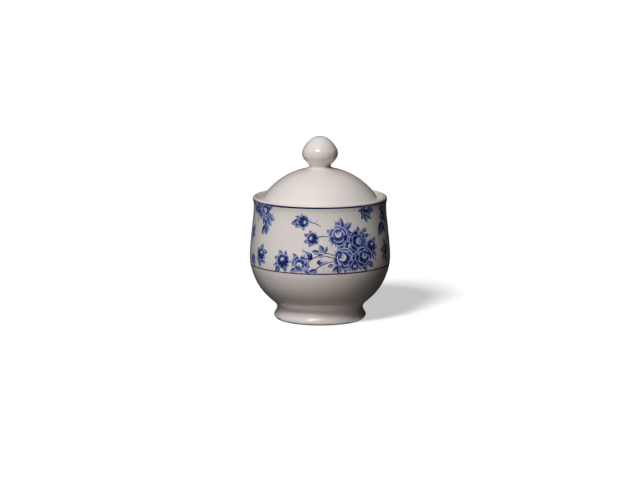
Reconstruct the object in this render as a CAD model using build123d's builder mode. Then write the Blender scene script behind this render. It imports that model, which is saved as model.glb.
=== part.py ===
from build123d import *

import os

# A round sugar bowl on a foot ring, with a domed lid that lifts off.
# Millimetres, +Z up. The origin is on the axis, on the surface that it stands on.
# Every piece is turned about Z, so each profile below is drawn in the XZ plane,
# with X as the radius and Y as the height.

# ---- driving dimensions ----
belly_radius = 44.0          # widest part of the bowl
belly_height = 39.5
waist_radius = 41.4          # narrowest part, just under the lip
waist_height = 71.5
lip_radius = 41.9            # widest part of the rounded lip
bowl_height = 77.5           # top of the lip
wall = 3.2                   # thickness of the side wall
floor_height = 10.6          # top of the floor, at the middle

foot_height = 6.2            # joint between foot ring and bowl
foot_radius = 28.9           # widest part of the foot
foot_radius_height = 2.35
foot_contact = (24.2, 26.4)  # inner and outer radius of the face that it stands on
foot_bore = 22.6
foot_top_radius = 27.2
neck_radius = 26.95          # narrowest part above the foot
neck_height = 7.2

ledge_height = 74.4          # the lid rests at this height
ledge_bore = 34.4            # opening that the lid's flange drops through
ledge_wall_radius = 39.0     # recess around the lid

lid_radius = 36.4
lid_edge_height = 75.75      # top of the lid's upright edge
lid_thickness = 3.55
dome_radius = 43.3           # the dome is part of a ball
dome_centre_height = lid_edge_height - (dome_radius**2 - lid_radius**2) ** 0.5
flange_outer = 32.9
flange_inner = 30.3
flange_depth = 4.2

knob_joint_radius = 8.4
knob_neck_radius = 6.7
knob_neck_height = 96.2
knob_radius = 11.2
knob_radius_height = 104.4
lid_top = 114.7

edge_round = 0.8             # usual rounding of a glazed edge


def dome_height(radius, thickness=0.0):
    """Height of the dome's outer surface, or of one that lies inside it."""
    return dome_centre_height + ((dome_radius - thickness) ** 2 - radius**2) ** 0.5


knob_joint_height = dome_height(knob_joint_radius) + 0.15

os.makedirs("parts", exist_ok=True)

# ---- bowl: floor, wall, ledge and lip in one shell ----
inner_belly = belly_radius - wall
with BuildPart() as bowl_body:
    with BuildSketch(Plane.XZ):
        with BuildLine():
            underside = Line((0, foot_height), (foot_top_radius, foot_height))
            neck = Spline(
                underside @ 1,
                (neck_radius, neck_height),
                (28.3, 10.2),
                (31.45, 13.0),
                tangents=[(-0.3, 1), (1.1, 1)],
            )
            bulge = Spline(
                neck @ 1,
                (37.75, 20.0),
                (42.5, 30.0),
                (belly_radius, belly_height),
                tangents=[(1.1, 1), (0, 1)],
            )
            side = Spline(
                bulge @ 1,
                (43.2, 52.0),
                (41.9, 64.0),
                (waist_radius, waist_height),
                tangents=[(0, 1), (0, 1)],
            )
            lip_outside = Spline(
                side @ 1,
                (lip_radius, 75.9),
                (40.6, bowl_height),
                tangents=[(0, 1), (-1, 0)],
            )
            lip_inside = Spline(
                lip_outside @ 1,
                (ledge_wall_radius, ledge_height + edge_round),
                tangents=[(-1, 0), (0, -1)],
            )
            ledge_corner = RadiusArc(
                lip_inside @ 1,
                (ledge_wall_radius - edge_round, ledge_height),
                edge_round,
            )
            ledge_top = Line(ledge_corner @ 1, (ledge_bore + edge_round, ledge_height))
            ledge_edge = RadiusArc(
                ledge_top @ 1,
                (ledge_bore, ledge_height - edge_round),
                -edge_round,
            )
            ledge_face = Line(ledge_edge @ 1, (ledge_bore, 72.4))
            ledge_underside = Spline(
                ledge_face @ 1,
                (38.6, 64.5),
                tangents=[(0, -1), (0.1, -1)],
            )
            inner_side = Spline(
                ledge_underside @ 1,
                (inner_belly, belly_height),
                (34.9, 21.5),
                (24.0, 13.4),
                (0, floor_height),
                tangents=[(0.1, -1), (-1, 0)],
            )
            Line(inner_side @ 1, underside @ 0)
        make_face()
    revolve(axis=Axis.Z)
bowl_body.part.label = "bowl_body"
export_step(bowl_body.part, "parts/bowl_body.step")

# ---- foot ring, flared below the neck ----
with BuildPart() as foot_ring:
    with BuildSketch(Plane.XZ):
        with BuildLine():
            contact = Line((foot_contact[0], 0), (foot_contact[1], 0))
            foot_outside = Spline(
                contact @ 1,
                (28.2, 1.0),
                (foot_radius, foot_radius_height),
                (27.9, 4.5),
                (foot_top_radius, foot_height),
                tangents=[(1, 0.1), (-0.3, 1)],
            )
            foot_top = Line(foot_outside @ 1, (foot_bore, foot_height))
            foot_inside = Line(foot_top @ 1, (foot_bore + 0.5, 1.3))
            RadiusArc(foot_inside @ 1, contact @ 0, -1.8)
        make_face()
    revolve(axis=Axis.Z)
foot_ring.part.label = "foot_ring"
export_step(foot_ring.part, "parts/foot_ring.step")

# ---- lid: a domed shell with an upright edge ----
with BuildPart() as lid_dome:
    with BuildSketch(Plane.XZ):
        with BuildLine():
            seat = Line((flange_inner, ledge_height), (lid_radius - 0.5, ledge_height))
            lid_edge = Spline(
                seat @ 1,
                (lid_radius, ledge_height + 0.6),
                (35.7, dome_height(35.7)),
                tangents=[(1, 0.2), (-0.62, 0.785)],
            )
            dome_end = (knob_joint_radius + 3.4, dome_height(knob_joint_radius + 3.4))
            dome_middle = (25.0, dome_height(25.0))
            dome = ThreePointArc(lid_edge @ 1, dome_middle, dome_end)
            collar = Spline(
                dome @ 1,
                (knob_joint_radius, knob_joint_height),
                tangents=[dome % 1, (-1, 0.55)],
            )
            joint_face = Line(collar @ 1, (0, knob_joint_height))
            apex = (0, dome_height(0, lid_thickness))
            middle_line = Line(joint_face @ 1, apex)
            ceiling_middle = (17.0, dome_height(17.0, lid_thickness))
            ceiling_end = (flange_inner, dome_height(flange_inner, lid_thickness))
            ceiling = ThreePointArc(apex, ceiling_middle, ceiling_end)
            Line(ceiling @ 1, seat @ 0)
        make_face()
    revolve(axis=Axis.Z)
lid_dome.part.label = "lid_dome"
export_step(lid_dome.part, "parts/lid_dome.step")

# ---- flange under the lid, which keeps it over the ledge's opening ----
with BuildPart() as lid_flange:
    with BuildSketch(Plane.XZ):
        with Locations((flange_inner, ledge_height)):
            Rectangle(
                flange_outer - flange_inner,
                flange_depth,
                align=(Align.MIN, Align.MAX),
            )
    revolve(axis=Axis.Z)
    fillet(lid_flange.edges().group_by(Axis.Z)[0], edge_round)
lid_flange.part.label = "lid_flange"
export_step(lid_flange.part, "parts/lid_flange.step")

# ---- knob: round above, drawn in to a narrow neck ----
with BuildPart() as lid_knob:
    with BuildSketch(Plane.XZ):
        with BuildLine():
            base = Line((0, knob_joint_height), (knob_joint_radius, knob_joint_height))
            knob_neck = Spline(
                base @ 1,
                (knob_neck_radius, knob_neck_height),
                tangents=[(-1, 0.55), (0, 1)],
            )
            knob_side = Spline(
                knob_neck @ 1,
                (7.7, 98.0),
                (10.55, 101.4),
                (knob_radius, knob_radius_height),
                tangents=[(0, 1), (0, 1)],
            )
            knob_crown = Spline(
                knob_side @ 1,
                (10.0, 108.0),
                (8.0, 110.75),
                (5.0, 113.4),
                (0, lid_top),
                tangents=[(0, 1), (-1, 0)],
            )
            Line(knob_crown @ 1, base @ 0)
        make_face()
    revolve(axis=Axis.Z)
lid_knob.part.label = "lid_knob"
export_step(lid_knob.part, "parts/lid_knob.step")
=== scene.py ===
import cmath
import math
import random
import bmesh
import bpy
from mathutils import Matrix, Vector
from mathutils.geometry import delaunay_2d_cdt


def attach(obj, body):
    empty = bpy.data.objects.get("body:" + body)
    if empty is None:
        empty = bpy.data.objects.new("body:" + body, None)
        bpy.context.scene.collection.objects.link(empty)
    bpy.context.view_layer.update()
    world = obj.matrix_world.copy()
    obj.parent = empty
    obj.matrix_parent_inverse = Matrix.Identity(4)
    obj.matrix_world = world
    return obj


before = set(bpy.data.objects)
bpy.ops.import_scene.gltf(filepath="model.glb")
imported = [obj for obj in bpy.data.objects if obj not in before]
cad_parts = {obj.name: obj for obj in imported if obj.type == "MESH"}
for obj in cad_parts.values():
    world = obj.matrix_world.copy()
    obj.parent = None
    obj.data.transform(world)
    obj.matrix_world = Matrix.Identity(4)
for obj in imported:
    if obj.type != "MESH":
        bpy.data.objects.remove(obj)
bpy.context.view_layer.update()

MM = 0.001
FULL_TURN = 2 * math.pi

# The print runs between two fine lines. Heights are in millimetres.
UPPER_LINE = 75.6
LOWER_LINE = 35.4
# The flat artwork is wrapped round the bowl at this radius, in millimetres.
WRAP_RADIUS = 43.0
# How far the print stands out of the wall, and how far it reaches into it.
PRINT_PROUD = 0.05
PRINT_SUNK = 0.02
# The artwork is cut into cells this wide and this high so that it can follow the wall.
CELL_WIDTH = 2.4
CELL_HEIGHT = 1.6

# ---------------------------------------------------------------- materials

CREAM = (0.80, 0.745, 0.71)
COOL_IVORY = (0.790, 0.730, 0.695)
WARM_IVORY = (0.815, 0.757, 0.727)
IRON = (0.55, 0.45, 0.34)
BISCUIT = (0.62, 0.50, 0.38)
DARK_BISCUIT = (0.50, 0.39, 0.29)
GLAZE_ROUGHNESS = 0.35
BISCUIT_ROUGHNESS = 0.85
# The biscuit of the foot gives way to glaze between these heights, in metres, after
# noise of up to the raggedness has been added to the height.
GLAZE_EDGE = (0.00035, 0.00055)
GLAZE_RAGGEDNESS = 0.0003
# The colour at each tone of the artwork, from bare glaze to navy.
INK_STOPS = (
    (0.00, CREAM),
    (0.12, (0.70, 0.70, 0.78)),
    (0.35, (0.42, 0.49, 0.78)),
    (0.60, (0.120, 0.175, 0.52)),
    (0.80, (0.020, 0.034, 0.21)),
    (1.00, (0.003, 0.005, 0.06)),
)


def new_material(name):
    """An empty node material and its Principled shader."""
    material = bpy.data.materials.new(name)
    material.use_nodes = True
    return material, material.node_tree, material.node_tree.nodes["Principled BSDF"]


def add_node(tree, kind, **settings):
    node = tree.nodes.new(kind)
    for setting, value in settings.items():
        setattr(node, setting, value)
    return node


def object_coordinates(tree):
    return add_node(tree, "ShaderNodeTexCoord").outputs["Object"]


def noise(tree, coordinates, scale, detail=2.0):
    node = add_node(tree, "ShaderNodeTexNoise")
    node.inputs["Scale"].default_value = scale
    node.inputs["Detail"].default_value = detail
    tree.links.new(coordinates, node.inputs["Vector"])
    return node.outputs["Fac"]


def remap(tree, value, low, high, to_low, to_high):
    node = add_node(tree, "ShaderNodeMapRange", clamp=True)
    tree.links.new(value, node.inputs["Value"])
    names = ("From Min", "From Max", "To Min", "To Max")
    for name, number in zip(names, (low, high, to_low, to_high)):
        node.inputs[name].default_value = number
    return node.outputs["Result"]


def ramp(tree, value, stops):
    node = add_node(tree, "ShaderNodeValToRGB")
    elements = node.color_ramp.elements
    while len(elements) < len(stops):
        elements.new(1.0)
    for element, (place, colour) in zip(elements, stops):
        element.position = place
        element.color = (*colour, 1)
    tree.links.new(value, node.inputs["Fac"])
    return node.outputs["Color"]


def mix(tree, share, first, second):
    """Mixes two colours, each a socket or a constant, by a share that is a socket."""
    node = add_node(tree, "ShaderNodeMix", data_type="RGBA")
    tree.links.new(share, node.inputs["Factor"])
    for name, colour in (("A", first), ("B", second)):
        socket = next(s for s in node.inputs if s.name == name and s.type == "RGBA")
        if isinstance(colour, tuple):
            socket.default_value = (*colour, 1)
        else:
            tree.links.new(colour, socket)
    return next(s for s in node.outputs if s.type == "RGBA")


def gloss(tree, shader, coordinates):
    """The clear glaze over everything: glossy, with the faintest ripple."""
    shader.inputs["Roughness"].default_value = GLAZE_ROUGHNESS
    shader.inputs["Coat Weight"].default_value = 1.0
    shader.inputs["Coat Roughness"].default_value = 0.02
    shader.inputs["Coat IOR"].default_value = 1.6
    bump = add_node(tree, "ShaderNodeBump")
    bump.inputs["Strength"].default_value = 0.25
    bump.inputs["Distance"].default_value = 0.0001
    tree.links.new(noise(tree, coordinates, 90, 3), bump.inputs["Height"])
    tree.links.new(bump.outputs["Normal"], shader.inputs["Coat Normal"])


def glaze_colour(tree, coordinates):
    """Ivory that drifts a little warmer and cooler, with a few faint iron specks."""
    drift = remap(tree, noise(tree, coordinates, 22), 0.35, 0.65, 0, 1)
    colour = mix(tree, drift, WARM_IVORY, COOL_IVORY)
    specks = remap(tree, noise(tree, coordinates, 900, 0), 0.78, 0.84, 0, 0.25)
    return mix(tree, specks, colour, IRON)


def glaze(name):
    material, tree, shader = new_material(name)
    coordinates = object_coordinates(tree)
    tree.links.new(glaze_colour(tree, coordinates), shader.inputs["Base Color"])
    gloss(tree, shader, coordinates)
    return material


def foot_glaze(name):
    """Glaze that stops just above the ring that the bowl stands on, which is bare biscuit."""
    material, tree, shader = new_material(name)
    coordinates = object_coordinates(tree)
    height = add_node(tree, "ShaderNodeSeparateXYZ")
    tree.links.new(coordinates, height.inputs["Vector"])
    edge = add_node(tree, "ShaderNodeMath", operation="MULTIPLY_ADD")
    tree.links.new(noise(tree, coordinates, 350), edge.inputs[0])
    edge.inputs[1].default_value = GLAZE_RAGGEDNESS
    tree.links.new(height.outputs["Z"], edge.inputs[2])
    glazed = remap(tree, edge.outputs["Value"], *GLAZE_EDGE, 0, 1)
    grain = remap(tree, noise(tree, coordinates, 1500), 0.3, 0.7, 0, 1)
    biscuit = mix(tree, grain, BISCUIT, DARK_BISCUIT)
    colour = mix(tree, glazed, biscuit, glaze_colour(tree, coordinates))
    tree.links.new(colour, shader.inputs["Base Color"])
    gloss(tree, shader, coordinates)
    roughness = remap(tree, glazed, 0, 1, BISCUIT_ROUGHNESS, GLAZE_ROUGHNESS)
    tree.links.new(roughness, shader.inputs["Roughness"])
    tree.links.new(glazed, shader.inputs["Coat Weight"])
    return material


def ink(name):
    """Cobalt blue under the glaze, finely stippled: the artwork's tone sets its strength."""
    material, tree, shader = new_material(name)
    coordinates = object_coordinates(tree)
    tone = add_node(tree, "ShaderNodeAttribute", attribute_name="ink_tone").outputs["Fac"]
    stipple = remap(tree, noise(tree, coordinates, 4500, 1), 0.3, 0.7, -0.09, 0.09)
    uneven = remap(tree, noise(tree, coordinates, 160), 0.3, 0.7, -0.05, 0.05)
    for texture in (stipple, uneven):
        add = add_node(tree, "ShaderNodeMath", operation="ADD")
        tree.links.new(tone, add.inputs[0])
        tree.links.new(texture, add.inputs[1])
        tone = add.outputs["Value"]
    tree.links.new(ramp(tree, tone, INK_STOPS), shader.inputs["Base Color"])
    gloss(tree, shader, coordinates)
    return material


# ---------------------------------------------------------------- artwork

# The print is drawn flat, in millimetres: x runs round the bowl and y is the height.
# Points are complex numbers. Tone is the strength of the ink, from 0, bare, to 1, navy.


class Shape:
    """An inked outline. Its tone runs evenly from tones[0] at line[0] to tones[1] at line[1]."""

    def __init__(self, points, tones, line):
        self.points, self.tones, self.line = points, tones, line

    def moved(self, at, spin):
        points = [at + p * spin for p in self.points]
        return Shape(points, self.tones, [at + p * spin for p in self.line])

    def tone(self, p):
        start, end = self.line
        run = end - start
        share = ((p - start) * run.conjugate()).real / abs(run) ** 2
        share = min(max(share, 0.0), 1.0)
        return self.tones[0] + (self.tones[1] - self.tones[0]) * share


def moved(shapes, at, turn=0.0):
    spin = cmath.exp(1j * math.radians(turn))
    return [shape.moved(at, spin) for shape in shapes]


def stroke(points, widths, tone):
    """A line of ink through some points, its width running from widths[0] to widths[1]."""
    left, right = [], []
    for k, p in enumerate(points):
        ahead = points[min(k + 1, len(points) - 1)] - points[max(k - 1, 0)]
        across = 1j * ahead / abs(ahead)
        width = widths[0] + (widths[1] - widths[0]) * k / (len(points) - 1)
        left.append(p + across * width / 2)
        right.append(p - across * width / 2)
    return Shape(right + left[::-1], (tone, tone), (points[0], points[-1]))


def curve(start, via, end, steps=6):
    """Points along the curve from start to end that leans towards via."""
    ts = [k / steps for k in range(steps + 1)]
    return [start * (1 - t) ** 2 + 2 * via * t * (1 - t) + end * t * t for t in ts]


def stem(start, via, end, width=0.68):
    return [stroke(curve(start, via, end), (width, width * 0.6), 0.84)]


def blade(length, width, bend=0.0, sides=(-1, 1), fullness=0.8, teeth=0.0, steps=8):
    """Outline of a pointed blade along +x, or of one half of it."""

    def rib(k, side):
        t = k / steps
        half = width / 2 * math.sin(math.pi * t**fullness) ** 0.9 if 0 < k < steps else 0.0
        half *= 1 + teeth * (-1) ** k
        return complex(length * t, side * half + bend * length * t * t)

    there = [rib(k, sides[0]) for k in range(steps + 1)]
    back = [rib(k, sides[1]) for k in range(steps - 1, 0, -1)]
    return there + back


def leaf(length, bend, light):
    """A rose leaf along +x: a dark half, a light half, a pale rib and a few veins."""
    dark = 0.92
    width = length * 0.56
    edge = 0.15
    rim = blade(length + edge, width + 2 * edge, bend, teeth=0.16, steps=12)
    shapes = [
        Shape(rim, (1.0, 0.9), (0, length)),
        Shape(blade(length, width, bend, (0, 1)), (light + 0.25, light - 0.05), (0, length)),
        Shape(blade(length, width, bend, (-1, 0)), (dark, dark - 0.2), (0, length)),
    ]
    for k in range(3):
        t = 0.25 + 0.19 * k
        foot = complex(length * t, bend * length * t * t)
        for side, tone in ((1, 0.9), (-1, 0.5)):
            tip = foot + complex(0.16 * length, side * width * (0.34 - 0.07 * k))
            shapes.append(stroke([foot, tip], (0.13, 0.04), tone))
    rib = [complex(length * t, bend * length * t * t) for t in (0.05, 0.3, 0.6, 0.88)]
    shapes.append(stroke(rib, (0.20, 0.08), 0.18))
    return shapes


def pale_leaf(length):
    """A faint leaf with no outline, as if further away."""
    outline = blade(length, length * 0.45, bend=0.1, steps=6)
    return [Shape(outline, (0.20, 0.08), (0, length))]


def lobe(reach, width, notch, grow=0.0, steps=14):
    """Outline of a petal that spreads from the origin along +x, with a notch in its rim."""
    points = []
    for k in range(steps):
        a = FULL_TURN * k / steps
        rim = max(0.0, math.cos(a)) ** 2
        along = reach / 2 + (reach / 2 + grow) * (math.cos(a) - notch * rim * math.cos(4 * a))
        across = (width / 2 + grow) * math.sin(a) * (0.7 + 0.3 * math.cos(a))
        points.append(complex(along, across))
    return points


def petal(reach, width, mid, lip, notch=0.08, veins=3):
    """A petal along +x: dark at its foot, with its lip turned over and pale."""
    shapes = [
        Shape(lobe(reach, width, notch, 0.11), (1.0, 0.9), (0, reach)),
        Shape(lobe(reach, width, notch), (lip + 0.3, lip), (reach * 0.3, reach * 0.9)),
        Shape(lobe(reach * 0.86, width * 0.84, notch), (1.0, mid), (reach * 0.2, reach * 0.8)),
    ]
    for k in range(veins):
        side = k - (veins - 1) / 2
        foot = complex(reach * 0.25, 0.12 * width * side)
        tip = complex(reach * (0.72 - 0.05 * abs(side)), 0.22 * width * side)
        shapes.append(stroke([foot, tip], (0.2, 0.05), min(1.0, mid + 0.35)))
    return shapes


def oval(length, width, steps=16):
    turns = [FULL_TURN * k / steps for k in range(steps)]
    return [complex(length / 2 * math.cos(a), width / 2 * math.sin(a)) for a in turns]


def crescent(radius, thickness, start, end, steps=9):
    """A curved sliver, thickest half way, round the origin from one bearing to another."""
    outer, inner = [], []
    for k in range(steps + 1):
        share = k / steps
        ray = cmath.exp(1j * math.radians(start + (end - start) * share))
        outer.append(ray * radius)
        if 0 < k < steps:
            inner.append(ray * (radius - thickness * math.sin(math.pi * share)))
    return outer + inner[::-1]


def heart(cup, shade=0.0):
    """The cupped middle of a rose: a pale bowl of petals round a dark swirl, open to -x."""
    core = 2 * shade
    middle = [
        Shape(oval(cup * 0.58, cup * 0.50), (0.95, 0.6), (-cup * 0.3, cup * 0.3)),
        Shape(crescent(cup * 0.25, cup * 0.14, 95, 300), (0.08 + core, 0.35 + core), (-cup, cup)),
        Shape(oval(cup * 0.26, cup * 0.22), (0.25, 0.75), (-cup * 0.12, cup * 0.12)),
        Shape(crescent(cup * 0.17, cup * 0.09, -40, 170), (1.0, 1.0), (-cup, cup)),
    ]
    return [
        Shape(oval(cup + 0.34, cup * 0.82 + 0.34), (1.0, 1.0), (-cup, cup)),
        Shape(oval(cup, cup * 0.82), (core, 0.55 + shade), (-cup * 0.15, cup * 0.5)),
        Shape(crescent(cup * 0.47, cup * 0.24, -75, 80), (1.0, 0.85), (0, cup)),
        *moved(middle, cup * 0.13),
        Shape(crescent(cup * 0.48, cup * 0.07, 140, 225), (0.4, 0.3), (-cup, cup)),
    ]


def frill(radius, count, dice):
    """Short dabs of the brush round the rim of a flower."""
    shapes = []
    for k in range(count):
        ray = cmath.exp(1j * (FULL_TURN * (k + dice.uniform(-0.4, 0.4)) / count))
        lean = cmath.exp(1j * dice.uniform(-0.25, 0.25))
        reach = radius * dice.uniform(1.08, 1.30)
        dab = [ray * radius * 0.7, ray * lean * reach]
        shapes.append(stroke(dab, (0.75, 0.12), dice.uniform(0.55, 0.95)))
    return shapes


def rose(radius, facing, seed, shade=0.0):
    """A full-blown rose, its heart open towards a bearing, shaded darker by some tone."""
    dice = random.Random(seed)
    shapes = frill(radius, 15, dice)
    rings = ((6, 0.24, 0.82, 1.08, 0.72, 0.16), (5, 0.08, 0.68, 0.86, 0.58, 0.02))
    for ring, (count, out, reach, width, mid, lip) in enumerate(rings):
        order = list(range(count))
        dice.shuffle(order)
        for k in order:
            turn = facing + 360 * (k + 0.5 * ring) / count + dice.uniform(-10, 10)
            away = math.cos(math.radians(turn - facing))
            mid_now = min(1.0, mid + shade + 0.12 * away + dice.uniform(-0.1, 0.1))
            lip_now = min(0.7, lip + shade * 0.5 + 0.08 * (1 + away) + dice.uniform(0, 0.14))
            foot = radius * out * cmath.exp(1j * math.radians(turn))
            reach_now = radius * reach * dice.uniform(0.9, 1.04)
            notch = dice.uniform(0.02, 0.10)
            one = petal(reach_now, radius * width, mid_now, lip_now, notch)
            shapes += moved(one, foot, turn)
    centre = radius * 0.22 * cmath.exp(1j * math.radians(facing + 180))
    shapes += moved(heart(radius * 0.86, shade), centre, facing + 180)
    return shapes


def rosette(radius, facing, seed):
    """A small rose, its heart open towards a bearing."""
    dice = random.Random(seed)
    shapes = frill(radius, 11, dice)
    for turn in (-152, 148, -104, 100, -64, 60, -24, 28, 0):
        reach = radius * dice.uniform(0.9, 1.12)
        foot = 0.12 * radius * cmath.exp(1j * math.radians(facing + turn))
        one = petal(reach, radius * 0.84, dice.uniform(0.65, 0.9), lip=0.25, veins=1)
        shapes += moved(one, foot, facing + turn)
    centre = 0.24 * radius * cmath.exp(1j * math.radians(facing))
    shapes += moved(heart(radius * 0.72, shade=0.07), centre, facing + 180)
    return shapes


def bud(length):
    """A closed rosebud along +x, on its sepals."""
    width = length * 0.5
    tip = length * 0.96
    shapes = [
        Shape(blade(length, width + 0.3, fullness=0.62), (1.0, 0.9), (0, length)),
        Shape(blade(tip, width, fullness=0.62), (0.75, 0.35), (0, length)),
        Shape(blade(tip, width, 0.0, (0, 1), 0.62), (0.30, 0.06), (0, length)),
        stroke(curve(0, complex(length * 0.5, -width * 0.3), complex(tip, 0)), (0.3, 0.1), 0.95),
    ]
    for turn, reach in ((36, 0.55), (-36, 0.55), (4, 0.58)):
        sepal = Shape(blade(length * reach, width * 0.32, -0.05), (1.0, 0.75), (0, length))
        shapes += moved([sepal], 0, turn)
    for side in (1, -1):
        point = complex(length * 1.16, side * width * 0.22)
        shapes.append(stroke([complex(length * 0.9, 0), point], (0.24, 0.1), 0.9))
    return shapes


def spot(bearing, height):
    """A place on the flat artwork, from a bearing in degrees and a height in millimetres."""
    return complex(math.radians(bearing) * WRAP_RADIUS, height)


def spanning(draw, foot, tip, **style):
    """A leaf or a bud drawn from one (bearing, height) to another."""
    start, end = spot(*foot), spot(*tip)
    return moved(draw(abs(end - start), **style), start, math.degrees(cmath.phase(end - start)))


# Each row: bearing and height of the middle, radius, where its heart faces, extra shade.
ROSES = (
    (32.6, 54.8, 6.4, 170, 0.20),
    (15.3, 58.6, 6.2, -85, 0.02),
    (38.0, 44.6, 6.3, -120, 0.17),
    (19.6, 44.7, 6.6, -35, 0.0),
    (-16.2, 41.4, 5.1, 60, 0.0),
    (-53.2, 72.0, 5.2, 20, 0.04),
    (-68.0, 74.2, 5.6, -60, 0.12),
    (42.6, 74.2, 5.2, -100, 0.20),
)
# Each row: bearing, height, radius, facing.
ROSETTES = (
    (26.4, 51.2, 4.6, 140),
    (46.4, 50.6, 3.9, 60),
    (28.6, 40.6, 3.7, -80),
    (-14.4, 67.3, 3.6, -20),
    (-5.8, 57.0, 3.7, 165),
    (-31.0, 42.2, 4.5, 110),
    (-56.2, 44.6, 4.0, 60),
    (67.0, 46.4, 3.6, 150),
    (68.0, 67.6, 3.5, 200),
)
# Leaves, pale leaves and buds. Each row: bearing and height of the foot, then of the tip.
LEAVES = (
    # Under the roses that hang from the upper line, on the left.
    ((-48.5, 69.5), (-41.6, 66.8)),
    ((-49.4, 68.4), (-46.0, 62.4)),
    ((-51.5, 67.0), (-50.4, 60.6)),
    ((-51.8, 63.6), (-55.2, 56.0)),
    ((-50.5, 63.0), (-49.2, 57.2)),
    ((-56.5, 68.8), (-60.9, 65.6)),
    ((-50.0, 75.0), (-44.0, 74.6)),
    ((-61.6, 71.4), (-60.6, 66.8)),
    ((-54.6, 67.6), (-56.4, 63.0)),
    # Sprigs at the far left.
    ((-74.5, 56.0), (-71.4, 61.6)),
    ((-74.6, 56.6), (-76.8, 51.0)),
    ((-75.2, 56.4), (-69.8, 53.8)),
    ((-74.8, 56.4), (-79.6, 58.4)),
    ((-56.0, 46.4), (-54.2, 51.4)),
    ((-55.0, 45.8), (-48.0, 47.6)),
    ((-57.0, 42.6), (-58.2, 36.2)),
    ((-55.4, 42.8), (-50.4, 39.4)),
    ((-58.4, 44.6), (-62.6, 48.0)),
    ((-58.6, 42.8), (-62.6, 40.6)),
    ((-70.6, 43.4), (-66.0, 36.2)),
    ((-71.0, 42.4), (-73.8, 36.6)),
    # Round the two loose small roses.
    ((-16.6, 67.0), (-25.0, 66.4)),
    ((-16.0, 66.2), (-20.6, 63.2)),
    ((-14.6, 65.4), (-13.6, 61.8)),
    ((-16.2, 68.6), (-21.0, 70.6)),
    ((-14.6, 69.0), (-15.4, 72.2)),
    ((-7.4, 55.8), (-13.4, 54.8)),
    ((-7.6, 58.2), (-13.6, 58.8)),
    ((-6.2, 55.0), (-8.4, 51.8)),
    ((-6.6, 59.0), (-8.4, 62.2)),
    # Round the bouquet.
    ((17.2, 62.4), (18.8, 69.4)),
    ((16.6, 62.8), (13.2, 67.4)),
    ((20.0, 62.6), (27.6, 65.8)),
    ((20.4, 61.2), (25.6, 60.6)),
    ((9.6, 60.0), (5.4, 62.2)),
    ((25.0, 56.0), (20.6, 50.2)),
    ((26.4, 55.6), (21.8, 56.8)),
    ((26.0, 51.4), (28.6, 46.6)),
    ((27.0, 50.0), (22.6, 49.8)),
    ((41.0, 51.0), (48.2, 54.2)),
    ((42.6, 49.8), (53.8, 51.0)),
    ((43.6, 48.0), (53.0, 45.4)),
    ((37.6, 59.4), (41.8, 62.4)),
    ((39.6, 57.0), (44.6, 58.0)),
    ((33.6, 60.0), (32.2, 63.6)),
    ((43.2, 41.4), (47.6, 37.4)),
    ((37.4, 39.8), (40.2, 35.6)),
    ((28.6, 45.0), (25.4, 36.2)),
    ((28.8, 43.4), (31.2, 37.6)),
    ((33.0, 40.6), (34.2, 36.6)),
    ((16.0, 40.4), (10.8, 36.0)),
    ((14.6, 40.2), (16.6, 35.0)),
    ((10.8, 41.0), (6.0, 39.8)),
    ((21.0, 39.8), (21.8, 35.6)),
    # Filling the bouquet.
    ((20.0, 54.6), (27.4, 52.6)),
    ((27.6, 58.6), (22.0, 61.2)),
    ((24.0, 48.4), (31.6, 49.8)),
    ((34.0, 50.6), (27.0, 46.6)),
    ((29.0, 48.0), (29.4, 40.4)),
    ((38.0, 52.0), (44.6, 49.6)),
    ((24.4, 50.6), (14.6, 50.8)),
    ((44.0, 49.6), (50.4, 56.4)),
    # Along the branch.
    ((-0.4, 48.7), (-6.8, 48.6)),
    ((2.8, 48.4), (-1.2, 53.0)),
    ((3.2, 48.6), (5.6, 52.4)),
    ((2.8, 47.4), (-2.2, 45.4)),
    ((-2.2, 38.0), (-9.0, 35.2)),
    ((-33.6, 42.6), (-39.6, 44.0)),
    ((-33.0, 40.6), (-40.4, 39.4)),
    ((-31.6, 44.8), (-35.4, 48.8)),
    ((-29.4, 45.4), (-29.0, 49.2)),
    ((-34.2, 38.8), (-39.4, 35.2)),
    ((-29.6, 39.4), (-28.6, 35.8)),
    ((-18.6, 44.4), (-23.0, 47.2)),
    ((-19.6, 38.4), (-24.4, 35.8)),
    ((-12.4, 38.2), (-8.6, 35.6)),
    ((-11.4, 41.8), (-7.8, 39.6)),
    # Under the rose that hangs from the upper line, on the right.
    ((42.6, 70.4), (43.2, 65.0)),
    ((44.8, 70.6), (49.0, 66.8)),
    ((40.6, 70.8), (37.4, 67.4)),
    ((47.0, 73.6), (51.6, 71.0)),
    ((38.2, 73.4), (34.2, 72.4)),
    # Sprigs at the far right.
    ((67.4, 70.0), (66.8, 75.0)),
    ((66.4, 64.0), (57.4, 55.8)),
    ((65.6, 65.4), (60.8, 67.0)),
    ((67.0, 63.0), (68.6, 57.0)),
    ((69.6, 66.0), (73.4, 62.6)),
    ((66.8, 49.0), (66.2, 53.6)),
    ((65.0, 46.4), (58.4, 46.4)),
    ((66.0, 44.2), (61.6, 40.2)),
    ((67.8, 43.8), (69.0, 38.8)),
    ((69.0, 47.6), (73.0, 49.8)),
    # On the side, where the next half of the print begins.
    ((84.0, 58.0), (80.0, 63.6)),
    ((84.4, 57.6), (89.6, 61.4)),
    ((84.0, 56.4), (81.6, 51.4)),
    ((86.0, 40.6), (82.4, 36.4)),
    ((86.4, 41.6), (91.4, 38.0)),
    ((86.6, 42.4), (85.0, 47.0)),
)
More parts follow.
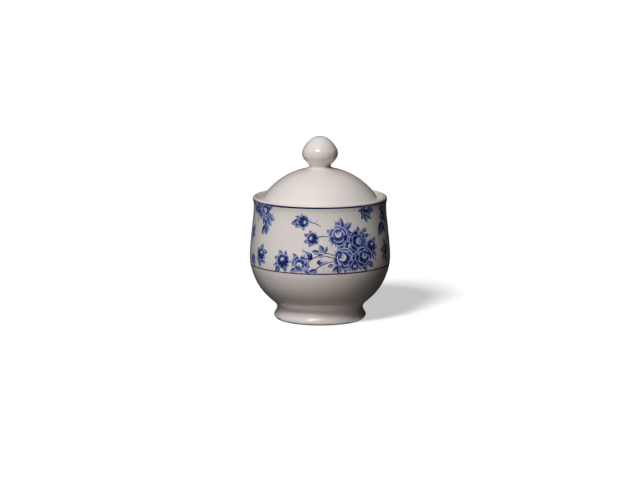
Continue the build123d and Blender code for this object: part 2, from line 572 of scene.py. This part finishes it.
PALE_LEAVES = (
    ((-7.4, 66.6), (-6.8, 70.0)),
    ((-4.0, 66.0), (-1.2, 69.2)),
    ((2.0, 58.0), (1.4, 61.4)),
    ((3.0, 57.4), (4.0, 54.4)),
    ((9.6, 54.0), (7.6, 50.8)),
    ((13.8, 52.8), (13.2, 49.6)),
    ((23.0, 66.4), (23.6, 70.4)),
    ((44.6, 55.0), (46.6, 59.0)),
    ((50.0, 48.4), (57.0, 48.0)),
    ((3.0, 39.6), (2.4, 36.2)),
    ((6.0, 38.4), (8.2, 36.0)),
    ((34.6, 39.6), (34.8, 36.0)),
    ((-27.4, 43.6), (-24.0, 46.2)),
    ((-33.0, 48.4), (-31.4, 52.2)),
    ((-9.4, 43.4), (-11.8, 45.4)),
    ((-47.4, 64.6), (-43.0, 63.0)),
    ((-51.6, 43.8), (-47.0, 43.2)),
    ((-45.0, 71.4), (-40.6, 71.0)),
    ((-59.6, 65.6), (-58.4, 61.4)),
    ((62.0, 62.0), (59.8, 65.4)),
    ((70.6, 50.6), (73.0, 54.4)),
    ((36.8, 70.6), (33.6, 69.2)),
    ((87.0, 58.6), (91.4, 57.0)),
)
BUDS = (
    ((-6.4, 44.4), (-14.0, 49.8)),
    ((-2.6, 42.5), (5.0, 42.9)),
    ((46.0, 46.4), (51.0, 41.6)),
    ((63.6, 70.8), (62.2, 75.2)),
    ((-61.0, 70.6), (-65.2, 64.8)),
    ((84.2, 58.8), (85.6, 65.8)),
)
# Each row: bearing and height of the start, of a place to lean towards, and of the end.
STEMS = (
    ((-12.4, 67.6), (-6.0, 67.2), (0.8, 64.6)),
    ((-4.2, 57.4), (1.0, 58.8), (7.6, 58.2)),
    ((-6.8, 44.6), (-1.0, 47.4), (6.0, 46.2)),
    ((6.0, 46.2), (9.0, 45.4), (13.0, 45.0)),
    ((-10.6, 42.6), (-8.0, 43.2), (-6.8, 44.6)),
    ((3.0, 48.2), (6.4, 48.6), (11.8, 46.4)),
    ((-4.4, 37.6), (0.0, 41.6), (12.4, 43.4)),
    ((-27.6, 42.0), (-24.0, 42.6), (-20.6, 42.2)),
    ((-50.6, 68.0), (-50.0, 64.0), (-52.4, 60.0)),
    ((-56.6, 48.0), (-58.6, 42.0), (-57.0, 37.0)),
    ((-74.6, 60.0), (-74.0, 56.0), (-75.8, 52.0)),
    ((66.0, 70.0), (67.4, 65.0), (63.6, 58.0)),
    ((67.2, 50.0), (66.0, 46.0), (67.6, 40.8)),
    ((17.0, 63.0), (18.6, 65.0), (18.4, 68.6)),
    ((38.0, 50.6), (44.0, 50.4), (52.4, 48.2)),
    ((84.2, 58.8), (83.2, 54.0), (86.0, 48.6)),
)


def spray():
    """Everything on one half of the bowl: what is drawn later lies on top."""
    shapes = []
    for foot, tip in PALE_LEAVES:
        shapes += spanning(pale_leaf, foot, tip)
    for start, via, end in STEMS:
        shapes += stem(spot(*start), spot(*via), spot(*end))
    dice = random.Random(7)
    for foot, tip in LEAVES:
        bend, light = dice.uniform(-0.2, 0.2), dice.uniform(0.3, 0.6)
        shapes += spanning(leaf, foot, tip, bend=bend, light=light)
    for foot, tip in BUDS:
        shapes += spanning(bud, foot, tip)
    for k, (bearing, height, radius, facing) in enumerate(ROSETTES):
        shapes += moved(rosette(radius, facing, k), spot(bearing, height))
    for k, (bearing, height, radius, facing, shade) in enumerate(ROSES):
        shapes += moved(rose(radius, facing, k + 1, shade), spot(bearing, height))
    return shapes


# ---------------------------------------------------------------- print on the wall


def wall_profile(heights):
    """The radius of the bowl's outer wall at some heights, all in millimetres."""
    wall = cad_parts["bowl_body"]
    radii = []
    for height in heights:
        eye = Vector((0, -0.1, height * MM))
        hit, place, _, _ = wall.ray_cast(eye, Vector((0, 1, 0)))
        if not hit:
            raise ValueError("no wall at this height")
        radii.append(-place.y / MM)
    return radii


PROFILE_STEP = 0.25
PROFILE_FOOT = LOWER_LINE - 1
PROFILE_ROWS = int((UPPER_LINE + 1 - PROFILE_FOOT) / PROFILE_STEP)
PROFILE = wall_profile([PROFILE_FOOT + PROFILE_STEP * k for k in range(PROFILE_ROWS + 1)])


def wall_radius(height):
    """The wall's radius at a height, between the measured rows."""
    row = min(max((height - PROFILE_FOOT) / PROFILE_STEP, 0.0), PROFILE_ROWS - 1e-6)
    k = int(row)
    return PROFILE[k] + (PROFILE[k + 1] - PROFILE[k]) * (row - k)


def wall_slope(height, reach=0.6):
    """How fast the wall's radius grows with height, over a short reach either way."""
    return (wall_radius(height + reach) - wall_radius(height - reach)) / (2 * reach)


def on_wall(p, lift, half_turn=0.0):
    """The place, in metres, of a flat point on the wall, and the wall's normal there."""
    bearing = p.real / WRAP_RADIUS + half_turn
    outwards = Vector((math.sin(bearing), -math.cos(bearing), 0))
    normal = (outwards - Vector((0, 0, wall_slope(p.imag)))).normalized()
    place = outwards * wall_radius(p.imag) + Vector((0, 0, p.imag)) + normal * lift
    return place * MM, normal


def grid_lines(low, high, cell):
    """Whole multiples of a cell's size that lie between two places."""
    return [k * cell for k in range(math.floor(low / cell) + 1, math.ceil(high / cell))]


def anticlockwise(points):
    following = points[1:] + points[:1]
    area = sum((a.conjugate() * b).imag for a, b in zip(points, following))
    return points if area > 0 else points[::-1]


def flat_map(shapes):
    """Cuts overlapping shapes into triangles that don't overlap, each with its top shape."""
    places = [p for shape in shapes for p in shape.points]
    left, right = min(p.real for p in places) - 1, max(p.real for p in places) + 1
    low, high = min(p.imag for p in places) - 1, max(p.imag for p in places) + 1
    rows = grid_lines(LOWER_LINE, UPPER_LINE, CELL_HEIGHT) + [LOWER_LINE, UPPER_LINE]
    points, cuts, outlines = [], [], []
    for x in grid_lines(left, right, CELL_WIDTH):
        cuts.append((len(points), len(points) + 1))
        points += [complex(x, low), complex(x, high)]
    for y in rows:
        cuts.append((len(points), len(points) + 1))
        points += [complex(left, y), complex(right, y)]
    for shape in shapes:
        outlines.append(list(range(len(points), len(points) + len(shape.points))))
        points += anticlockwise(shape.points)
    flat = [Vector((p.real, p.imag)) for p in points]
    verts, edges, faces, _, edge_origins, face_origins = delaunay_2d_cdt(
        flat, cuts, outlines, 0, 1e-5, True
    )
    mesh = bmesh.new()
    corners = [mesh.verts.new((v.x, v.y, 0)) for v in verts]
    for face, origins in zip(faces, face_origins):
        height = sum(verts[k].y for k in face) / 3
        if origins and LOWER_LINE < height < UPPER_LINE:
            mesh.faces.new([corners[k] for k in face]).material_index = max(origins)
    for (a, b), origins in zip(edges, edge_origins):
        edge = mesh.edges.get((corners[a], corners[b]))
        if edge and any(origin < len(cuts) for origin in origins):
            edge.seam = True
    bare = [edge for edge in mesh.edges if not edge.link_faces]
    bmesh.ops.delete(mesh, geom=bare, context="EDGES")
    alone = [vert for vert in mesh.verts if not vert.link_faces]
    bmesh.ops.delete(mesh, geom=alone, context="VERTS")
    bmesh.ops.dissolve_limit(
        mesh,
        angle_limit=0.02,
        use_dissolve_boundaries=False,
        verts=mesh.verts[:],
        edges=mesh.edges[:],
        delimit={"MATERIAL", "SEAM"},
    )
    bmesh.ops.triangulate(mesh, faces=mesh.faces[:])
    mesh.verts.index_update()
    return mesh


def raised_sheet(name, points, faces, half_turn=0.0):
    """A thin closed sheet on the wall. Each face is its corners and the tone at each."""
    count = len(points)
    outer = [on_wall(p, PRINT_PROUD, half_turn) for p in points]
    inner = [on_wall(p, -PRINT_SUNK, half_turn) for p in points]
    normals = [normal for _, normal in outer]
    polygons, corner_normals, tones = [], [], []

    def add(corners, normals_now, tones_now):
        polygons.append(corners)
        corner_normals.extend(normals_now)
        tones.extend(tones_now)

    sides = {}
    for corners, tones_now in faces:
        add(corners, [normals[k] for k in corners], tones_now)
        under = [k + count for k in reversed(corners)]
        add(under, [-normals[k] for k in reversed(corners)], tones_now[::-1])
        for k in range(len(corners)):
            a, b = corners[k], corners[(k + 1) % len(corners)]
            if sides.pop((b, a), None) is None:
                sides[a, b] = (tones_now[k], tones_now[(k + 1) % len(corners)])
    for (a, b), (tone_a, tone_b) in sides.items():
        rim = [a, a + count, b + count, b]
        add(rim, [normals[a], normals[a], normals[b], normals[b]], [tone_a, tone_a, tone_b, tone_b])
    mesh = bpy.data.meshes.new(name)
    mesh.from_pydata([place for place, _ in outer + inner], [], polygons)
    mesh.shade_smooth()
    attribute = mesh.attributes.new("ink_tone", "FLOAT", "CORNER")
    attribute.data.foreach_set("value", tones)
    mesh.normals_split_custom_set(corner_normals)
    piece = bpy.data.objects.new(name, mesh)
    bpy.context.scene.collection.objects.link(piece)
    return piece


def roses_on_wall(name, flat, shapes, half_turn):
    """The flat artwork as a thin sheet on the wall, turned half round for the back."""
    points = [complex(vert.co.x, vert.co.y) for vert in flat.verts]
    faces = []
    for face in flat.faces:
        shape = shapes[face.material_index]
        corners = [vert.index for vert in face.verts]
        faces.append((corners, [shape.tone(points[k]) for k in corners]))
    return raised_sheet(name, points, faces, half_turn)


def banding_line(name, height, width, tone, seed):
    """A fine line round the bowl, as a brush leaves it on the wheel: not quite even."""
    dice = random.Random(seed)
    steps = 240
    waves = [(n, dice.uniform(0, FULL_TURN), dice.uniform(0.4, 1) / n) for n in (2, 3, 5, 9, 17)]

    def unevenness(bearing, shift):
        return sum(size * math.sin(n * bearing + phase + shift) for n, phase, size in waves)

    points, faces = [], []
    for k in range(steps):
        bearing = FULL_TURN * k / steps
        middle = height + 0.06 * unevenness(bearing, 0)
        half = width / 2 * (1 + 0.15 * unevenness(bearing, 2))
        x = bearing * WRAP_RADIUS
        points += [complex(x, middle - half), complex(x, middle + half)]
    for k in range(steps):
        a, b = 2 * k, 2 * ((k + 1) % steps)
        strength = tone + 0.08 * unevenness(FULL_TURN * k / steps, 4)
        following = tone + 0.08 * unevenness(FULL_TURN * (k + 1) / steps, 4)
        faces.append(([a, b, b + 1, a + 1], [strength, following, following, strength]))
    return raised_sheet(name, points, faces)


def make_print():
    shapes = spray()
    flat = flat_map(shapes)
    pieces = [
        roses_on_wall("rose_print_front", flat, shapes, 0),
        roses_on_wall("rose_print_back", flat, shapes, math.pi),
        banding_line("upper_line", UPPER_LINE, 1.0, 1.0, 3),
        banding_line("lower_line", LOWER_LINE, 0.70, 1.0, 5),
    ]
    flat.free()
    blue = ink("blue_ink")
    for piece in pieces:
        piece.data.materials.append(blue)
        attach(piece, "bowl")
    return pieces


# ---------------------------------------------------------------- stage

CAMERA_DISTANCE = 1.38
CAMERA_HEIGHT = 0.277
CAMERA_TILT = 9.37
LENS = 125.5
AIM = Vector((0, 0, 0.06))
NEUTRAL = (1.0, 1.0, 1.0)
WARM = (1.0, 0.86, 0.72)
# The patches of floor that light the bowl lie this far, in millimetres, above the floor.
GLOW_HEIGHT = 0.6
# Those round the foot: radius and depth in millimetres, and the turn between them.
FOOT_GLOW_RADIUS = 29.8
FOOT_GLOW_DEPTH = 2.4
FOOT_GLOW_STEP = math.radians(24)
FLOOR_EMISSION = 0.53
AMBIENT_COLOUR = (1.0, 0.95, 0.91)
AMBIENT_STRENGTH = 0.015


def shine_only_on(lamp, things):
    """Lets a lamp light only some things, so that the floor and the bowl are lit apart."""
    group = bpy.data.collections.new(lamp.name + "_lights")
    for thing in things:
        group.objects.link(thing)
    lamp.light_linking.receiver_collection = group
    return group


def place_lamp(name, light, direction, distance):
    """A lamp at an azimuth, from the front round to the right, and an elevation."""
    azimuth, elevation = (math.radians(a) for a in direction)
    away = Vector((
        math.sin(azimuth) * math.cos(elevation),
        -math.cos(azimuth) * math.cos(elevation),
        math.sin(elevation),
    ))
    lamp = bpy.data.objects.new(name, light)
    lamp.location = AIM + away * distance
    lamp.rotation_mode = "QUATERNION"
    lamp.rotation_quaternion = away.to_track_quat("Z", "Y")
    bpy.context.scene.collection.objects.link(lamp)
    return lamp


def soft_box(name, direction, distance, size, strength, colour=NEUTRAL, glossy=False):
    """A soft box. Its strength is how bright it makes a white surface that faces it."""
    light = bpy.data.lights.new(name, "AREA")
    light.shape = "RECTANGLE"
    light.size, light.size_y = size
    light.energy = strength * (math.pi * distance) ** 2
    light.color = colour
    lamp = place_lamp(name, light, direction, distance)
    lamp.visible_glossy = glossy
    return lamp


def floor_glow(name, centre, size, strength, colour=NEUTRAL, turn=0.0):
    """Light that a patch of the white floor throws back up, as bright as its strength."""
    light = bpy.data.lights.new(name, "AREA")
    light.shape = "RECTANGLE"
    light.size, light.size_y = (side * MM for side in size)
    light.energy = strength * math.pi * light.size * light.size_y
    light.color = colour
    lamp = bpy.data.objects.new(name, light)
    lamp.location = Vector((*centre, GLOW_HEIGHT)) * MM
    lamp.rotation_euler = (math.pi, 0, turn)
    lamp.visible_camera = False
    lamp.visible_glossy = False
    bpy.context.scene.collection.objects.link(lamp)
    return lamp


def foot_glows():
    """Patches of floor set edge to edge round the front of the foot."""
    size = (FOOT_GLOW_RADIUS * FOOT_GLOW_STEP, FOOT_GLOW_DEPTH)
    glows = []
    for k in range(-2, 3):
        turn = k * FOOT_GLOW_STEP
        centre = (FOOT_GLOW_RADIUS * math.sin(turn), -FOOT_GLOW_RADIUS * math.cos(turn))
        glows.append(floor_glow(f"foot_glow_{k + 3}", centre, size, 0.85, turn=turn))
    return glows


def floor_sun(name, direction, softness, strength):
    """A sun that draws the bowl's shadow on the floor, its softness an angle in degrees."""
    light = bpy.data.lights.new(name, "SUN")
    light.angle = math.radians(softness)
    light.energy = strength * math.pi / math.sin(math.radians(direction[1]))
    lamp = place_lamp(name, light, direction, 1)
    lamp.visible_glossy = False
    return lamp


def make_floor():
    """A plain white floor that shows soft shadows but throws no light back."""
    bpy.ops.mesh.primitive_plane_add(size=60)
    floor = bpy.context.object
    floor.name = "floor"
    material, _, shader = new_material("floor_paint")
    shader.inputs["Base Color"].default_value = (0.9, 0.9, 0.9, 1)
    shader.inputs["Roughness"].default_value = 1.0
    shader.inputs["Specular IOR Level"].default_value = 0.0
    shader.inputs["Emission Color"].default_value = (1, 1, 1, 1)
    shader.inputs["Emission Strength"].default_value = FLOOR_EMISSION
    floor.data.materials.append(material)
    floor.visible_diffuse = False
    floor.visible_glossy = False
    return floor


def make_world():
    """White to the camera, and to everything else a faint warm light from all round."""
    world = bpy.data.worlds.new("studio")
    world.use_nodes = True
    tree = world.node_tree
    ambient = tree.nodes["Background"]
    ambient.inputs["Color"].default_value = (*AMBIENT_COLOUR, 1)
    ambient.inputs["Strength"].default_value = AMBIENT_STRENGTH
    white = add_node(tree, "ShaderNodeBackground")
    white.inputs["Color"].default_value = (1, 1, 1, 1)
    ray = add_node(tree, "ShaderNodeLightPath")
    chosen = add_node(tree, "ShaderNodeMixShader")
    tree.links.new(ray.outputs["Is Camera Ray"], chosen.inputs["Fac"])
    tree.links.new(ambient.outputs["Background"], chosen.inputs[1])
    tree.links.new(white.outputs["Background"], chosen.inputs[2])
    tree.links.new(chosen.outputs["Shader"], tree.nodes["World Output"].inputs["Surface"])
    bpy.context.scene.world = world


def make_camera():
    data = bpy.data.cameras.new("camera")
    data.sensor_width = 36
    data.lens = LENS
    camera = bpy.data.objects.new("camera", data)
    camera.location = (0, -CAMERA_DISTANCE, CAMERA_HEIGHT)
    camera.rotation_euler = (math.radians(90 - CAMERA_TILT), 0, 0)
    bpy.context.scene.collection.objects.link(camera)
    bpy.context.scene.camera = camera


def make_stage(bowl):
    floor = make_floor()
    # Soft boxes have a name, azimuth and elevation, distance, size and strength. Patches
    # of floor have a name, centre, size and strength.
    for lamp in (
        soft_box("key", (-19.5, 47), 1.5, (0.50, 0.14), 0.30, glossy=True),
        soft_box("key_glow", (-28, 55), 1.5, (0.9, 0.5), 0.55),
        soft_box("left", (-30, 20), 1.5, (0.6, 0.5), 0.23),
        soft_box("back_high", (180, 50), 1.5, (0.9, 0.5), 0.19, WARM),
        soft_box("back", (180, 14), 1.6, (1.4, 0.5), 0.15, WARM),
        soft_box("bounce", (6, -22), 1.5, (0.7, 0.4), 0.06, WARM),
        *foot_glows(),
        floor_glow("front_glow", (-14, -100), (120, 70), 0.18, WARM),
    ):
        lamp.light_linking.blocker_collection = shine_only_on(lamp, bowl)
    shine_only_on(floor_sun("sun_on_floor", (-29, 40), 15, 0.56), [floor])
    make_world()
    make_camera()
    bpy.context.scene.view_settings.view_transform = "Standard"


# ---------------------------------------------------------------- build

finishes = {
    "bowl_body": glaze("bowl_glaze"),
    "foot_ring": foot_glaze("foot_glaze"),
    "lid_dome": glaze("lid_glaze"),
    "lid_flange": glaze("flange_glaze"),
    "lid_knob": glaze("knob_glaze"),
}
for name, material in finishes.items():
    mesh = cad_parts[name].data
    mesh.materials.clear()
    mesh.materials.append(material)

prints = make_print()
make_stage([*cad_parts.values(), *prints])
